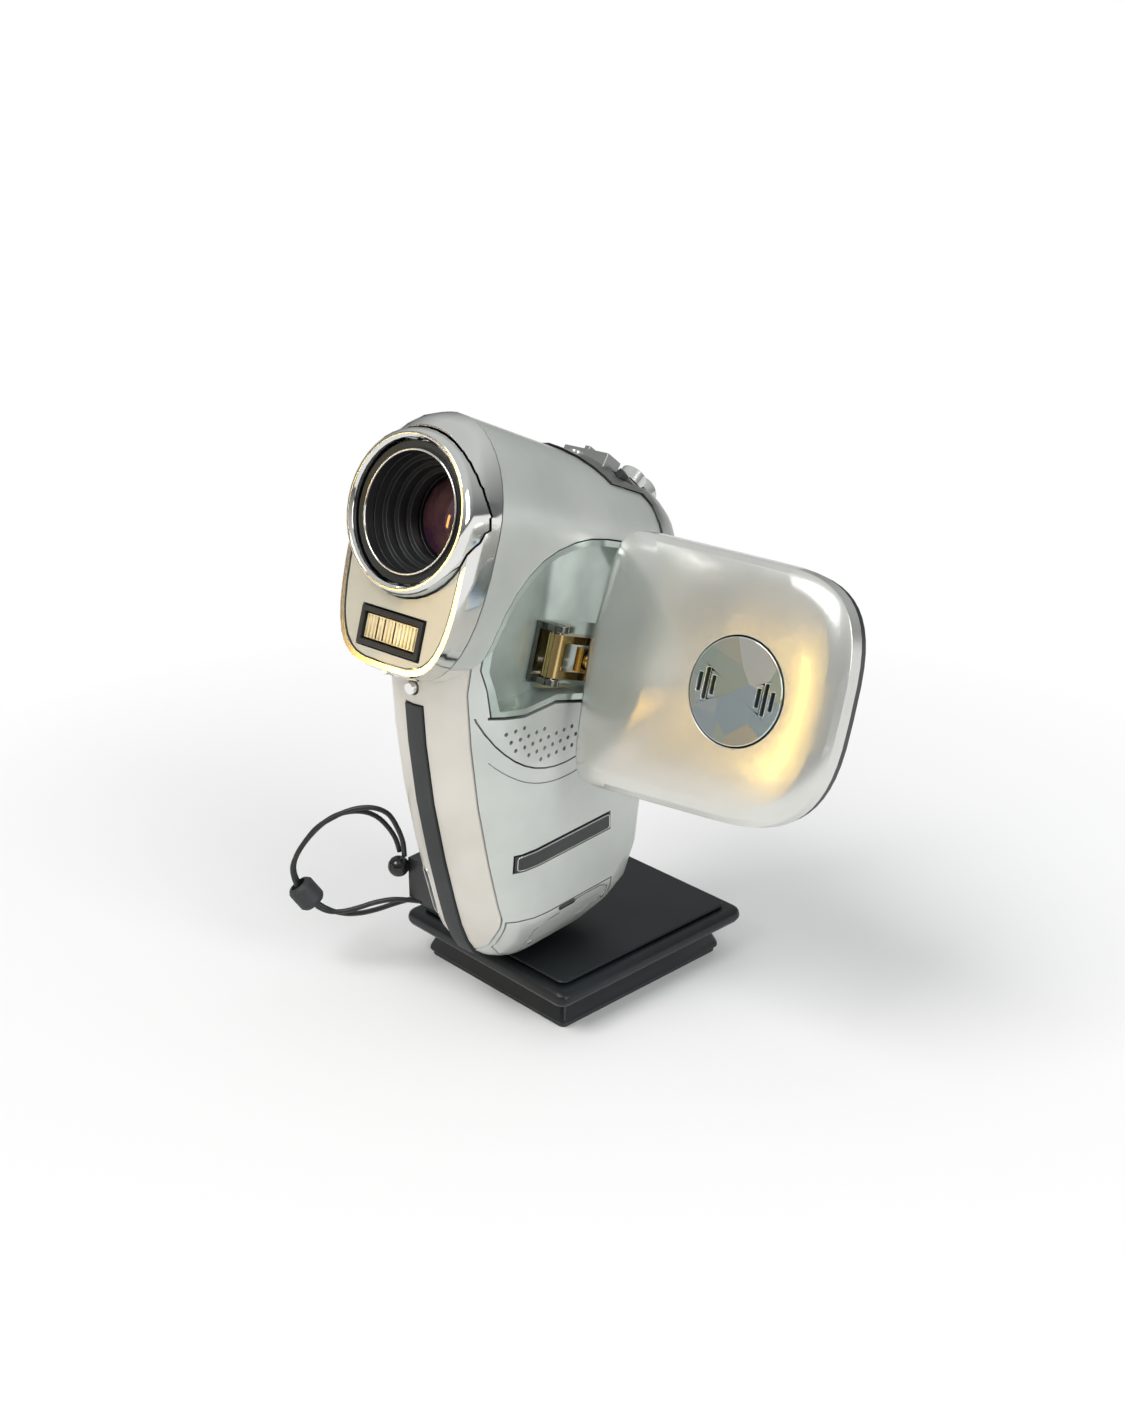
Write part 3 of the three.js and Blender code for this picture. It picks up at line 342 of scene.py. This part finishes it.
# Arc round the loudspeaker, and the bright edge of the label.
SPEAKER_Y, SPEAKER_Z, ARC_RADIUS = -17.5, 73, 24.2
arc = [(SPEAKER_Y + ARC_RADIUS * math.cos(math.radians(a)), SPEAKER_Z + ARC_RADIUS * math.sin(math.radians(a)))
       for a in range(222, 326, 4)]
tube("grille_arc", [on_left(y, z, 0.02) for y, z in arc], 0.1 * MM, GREY, "camera", sides=6)
label = dense(rounded(-29.6, -5, 33.9, 36.7, 0.6), 0.8)
tube("label_edge", [on_left(y, z, 0.03) for y, z in label], 0.12 * MM, BUTTON, "camera", True, 6)

# Card door: a raised outline, a black patch of painted shade where the finger notch sits at its upper edge,
# and two small hinge dots.
lip = [(-25.2, 13.6), (-25.4, 17), (-24.6, 19.6), (-21.5, 20.9), (-18.6, 21.1), (-17.6, 22.2),
       (-12, 22.3), (-7, 22.3), (-5, 21.6), (-4.7, 20)]
lip = dense(lip, 1.0)[:-12]
tube("door_outline", [on_left(y, z, 0.03) for y, z in lip], 0.11 * MM, GREY, "card_flap", sides=6)
notch = [(-16.6 + a, 22.15 + b) for a, b in oblong(2.3, 0.42)]
patch("door_notch_painted_shade", [on_left(y, z, 0.06) for y, z in notch], BLACK, "camera")
for index, (y, z) in enumerate(((-24.2, 16.4), (-5.4, 19.2))):
    dot = [(y + a, z + b) for a, b in oblong(0.5, 0.49, 12)]
    patch(f"door_dot_{index + 1}", [on_left(a, b, 0.05) for a, b in dot], BUTTON, "card_flap")

# Oblong slot beside the strip: a black patch of painted shade for its hollow, with a bright edge.
slot_ring = [(-5.4 + b, 26 + a) for a, b in oblong(5.2, 1.2, 28)]
patch("front_slot_painted_shade", [on_front(x, z, 0.06) for x, z in slot_ring], BLACK, "camera")
tube("front_slot_edge", [on_front(x, z, 0.03) for x, z in slot_ring], 0.16 * MM, RIM, "camera", True, 6)

# Bright inner ring of the lens and the ribs of the flash; three ribs are black, painted shade among the lit
# ones.
BRIGHT_RADIUS, BRIGHT_S = 10.3, 1.35
ring_points = [head(BRIGHT_RADIUS * math.cos(math.radians(a)), BRIGHT_S,
                    BRIGHT_RADIUS * math.sin(math.radians(a)))
               for a in range(0, 360, 5)]
tube("lens_bright_ring", ring_points, 0.2 * MM, RIM, "camera", True, 8)
RIBS, FIRST_RIB, RIB_PITCH, PAINTED_SHADE_RIBS = 15, -5.6, 0.8, (3, 5, 8)
for index in range(RIBS):
    across = FIRST_RIB + RIB_PITCH * index
    rib = [head(across, 2.46, h) for h in (-22.1, -20.2, -18.4)]
    tube(f"flash_rib_{index + 1:02d}", rib, 0.13 * MM,
         BLACK if index in PAINTED_SHADE_RIBS else WINDOW, "camera", sides=6)

# ---- Wrist strap: the CAD's points, in metres ----
STRANDS = {
    "strap_front": ("strap_cord_front", [
        (-17.4, -29.4, 27.1), (-17.5, -29.6, 30.2), (-18.2, -30.2, 33.1), (-19.4, -31.1, 35.8),
        (-21.1, -32.6, 37.1), (-23.3, -34.3, 37.2), (-25.6, -36.2, 36.4), (-27.7, -38, 35),
        (-29.6, -39.9, 33.3), (-31.2, -41.4, 30.8), (-32.7, -42.8, 27.6), (-33.6, -43.5, 24.3),
        (-33.1, -43, 20.7), (-31.8, -41.9, 18.5), (-30.6, -40.9, 16.6), (-29, -39.4, 15.2),
        (-26.9, -37.4, 15), (-24.6, -35.4, 15.8), (-22.2, -33.3, 16.9), (-19.6, -31, 17.6),
        (-17.1, -28.7, 17.4), (-15.5, -27, 17),
    ]),
    "strap_back": ("strap_cord_back", [
        (-19.2, -28.9, 27.3), (-19.8, -29.3, 30), (-20.9, -30.2, 32.5), (-22.4, -31.5, 34.6),
        (-24.4, -33.1, 35.6), (-26.7, -35.1, 35.5), (-28.9, -36.9, 34.4), (-31, -38.8, 32.2),
        (-32.8, -40.5, 29.4), (-34.2, -41.8, 26.4), (-34.8, -42.2, 23.4), (-34.1, -41.9, 20.7),
        (-32.8, -40.9, 18.5), (-31.7, -40, 16.6), (-29.8, -38.2, 14.7), (-27.6, -36.2, 13.8),
        (-25.2, -34, 13.9), (-22.8, -31.8, 14.7), (-20.5, -29.6, 15.8), (-18.6, -27.9, 16.6),
        (-17.1, -26.5, 17),
    ]),
}
CORD_RADIUS = 0.5 * MM


def smooth_path(points, steps=4):
    """Points along a smooth line through the given ones."""
    ends = [points[0] * 2 - points[1], *points, points[-1] * 2 - points[-2]]
    line = []
    for i in range(1, len(ends) - 2):
        a, b, c, d = ends[i - 1:i + 3]
        for k in range(steps):
            t = k / steps
            line.append(0.5 * (2 * b + (c - a) * t + (2 * a - 5 * b + 4 * c - d) * t ** 2
                               + (3 * b - a - 3 * c + d) * t ** 3))
    line.append(points[-1])
    return line


# Fine grain and uneven shade along the cord.
CORD = textured("black_cord", (0.006, 0.006, 0.007), (0.016, 0.017, 0.018), 0, 0.4, 6000, 0.4, 0.1, 900)
for name, (cad_node, raw) in STRANDS.items():
    path = smooth_path([Vector(p) * MM for p in raw])
    strand = tube(name, path, CORD_RADIUS, CORD, "camera", sides=12)
    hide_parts(cad_node)

# ---- Floor, world and lamps ----
floor_mesh = bpy.data.meshes.new("floor")
floor_mesh.from_pydata([(-3, -3, 0), (3, -3, 0), (3, 3, 0), (-3, 3, 0)], [], [(0, 1, 2, 3)])
floor = bpy.data.objects.new("floor", floor_mesh)
scene.collection.objects.link(floor)
# The floor keeps the shadow near the object and turns to plain white further off.
SHADE_WITHIN, WHITE_FROM = 0.06, 0.2
white = material("floor_white", (0.86, 0.86, 0.86), 0, 0.8)
tree = white.node_tree
shader = tree.nodes["Principled BSDF"]
glow = node(white, "ShaderNodeEmission")
mix = node(white, "ShaderNodeMixShader")
place = node(white, "ShaderNodeTexCoord")
length = node(white, "ShaderNodeVectorMath", operation="LENGTH")
fade = node(white, "ShaderNodeMapRange")
fade.inputs["From Min"].default_value = SHADE_WITHIN
fade.inputs["From Max"].default_value = WHITE_FROM
rays = node(white, "ShaderNodeLightPath")
seen = node(white, "ShaderNodeMath", operation="MAXIMUM")
share = node(white, "ShaderNodeMath", operation="MULTIPLY")
link(white, place.outputs["Object"], length.inputs[0])
link(white, length.outputs["Value"], fade.inputs["Value"])
link(white, rays.outputs["Is Camera Ray"], seen.inputs[0])
link(white, rays.outputs["Is Glossy Ray"], seen.inputs[1])
link(white, fade.outputs["Result"], share.inputs[0])
link(white, seen.outputs["Value"], share.inputs[1])
link(white, share.outputs["Value"], mix.inputs["Fac"])
link(white, shader.outputs["BSDF"], mix.inputs[1])
link(white, glow.outputs["Emission"], mix.inputs[2])
link(white, mix.outputs["Shader"], tree.nodes["Material Output"].inputs["Surface"])
floor_mesh.materials.append(white)

# World: soft grey light, brighter towards the top; only the camera sees plain white.
world = bpy.data.worlds.new("studio")
scene.world = world
world.use_nodes = True
sky = world.node_tree
background = sky.nodes["Background"]
coords = sky.nodes.new("ShaderNodeTexCoord")
parts = sky.nodes.new("ShaderNodeSeparateXYZ")
bands = sky.nodes.new("ShaderNodeValToRGB")
bands.color_ramp.elements[0].position, bands.color_ramp.elements[1].position = 0.0, 0.75
bands.color_ramp.elements[0].color = (0.16, 0.17, 0.17, 1)
bands.color_ramp.elements[1].color = (0.85, 0.87, 0.87, 1)
camera_rays = sky.nodes.new("ShaderNodeLightPath")
plain = sky.nodes.new("ShaderNodeBackground")
choose = sky.nodes.new("ShaderNodeMixShader")
sky.links.new(coords.outputs["Generated"], parts.inputs["Vector"])
sky.links.new(parts.outputs["Z"], bands.inputs["Fac"])
sky.links.new(bands.outputs["Color"], background.inputs["Color"])
background.inputs["Strength"].default_value = 0.75
plain.inputs["Color"].default_value = (1, 1, 1, 1)
plain.inputs["Strength"].default_value = 1
sky.links.new(camera_rays.outputs["Is Camera Ray"], choose.inputs["Fac"])
sky.links.new(background.outputs["Background"], choose.inputs[1])
sky.links.new(plain.outputs["Background"], choose.inputs[2])
sky.links.new(choose.outputs["Shader"], sky.nodes["World Output"].inputs["Surface"])


def area(name, place, aim, size, power, colour=(1, 1, 1)):
    data = bpy.data.lights.new(name, "AREA")
    data.shape = "RECTANGLE"
    data.size, data.size_y = size
    data.energy = power
    data.color = colour
    lamp = bpy.data.objects.new(name, data)
    lamp.location = place
    lamp.rotation_mode = "QUATERNION"
    lamp.rotation_quaternion = (Vector(aim) - Vector(place)).to_track_quat("-Z", "Y")
    scene.collection.objects.link(lamp)


def glow_on(name, point, distance, size, power, colour):
    """A lamp where the camera would see it at that point, if the open screen's cover were a flat mirror.
    The rounded cover draws the reflection in towards its middle."""
    normal = HEAD.to_3x3() @ Vector((0, -1, 0))
    sight = (camera.location - point).normalized()
    mirrored = 2 * normal.dot(sight) * normal - sight
    area(name, point + mirrored * distance, point, size, power, colour)


area("key", (-0.1, -0.75, 1.0), (0, 0, 0.06), (0.6, 0.5), 7.5)
area("side", (0.75, -0.1, 0.4), (0, 0, 0.06), (0.35, 0.5), 3.2)
glow_on("warm_left", head(-8, 35.8, -14), 1.3, (0.06, 0.22), 0.5, (1, 0.6, 0.12))
glow_on("warm_right", head(86, 35.8, -24), 1.3, (0.07, 0.26), 0.75, (1, 0.66, 0.14))

scene.view_settings.view_transform = "Standard"
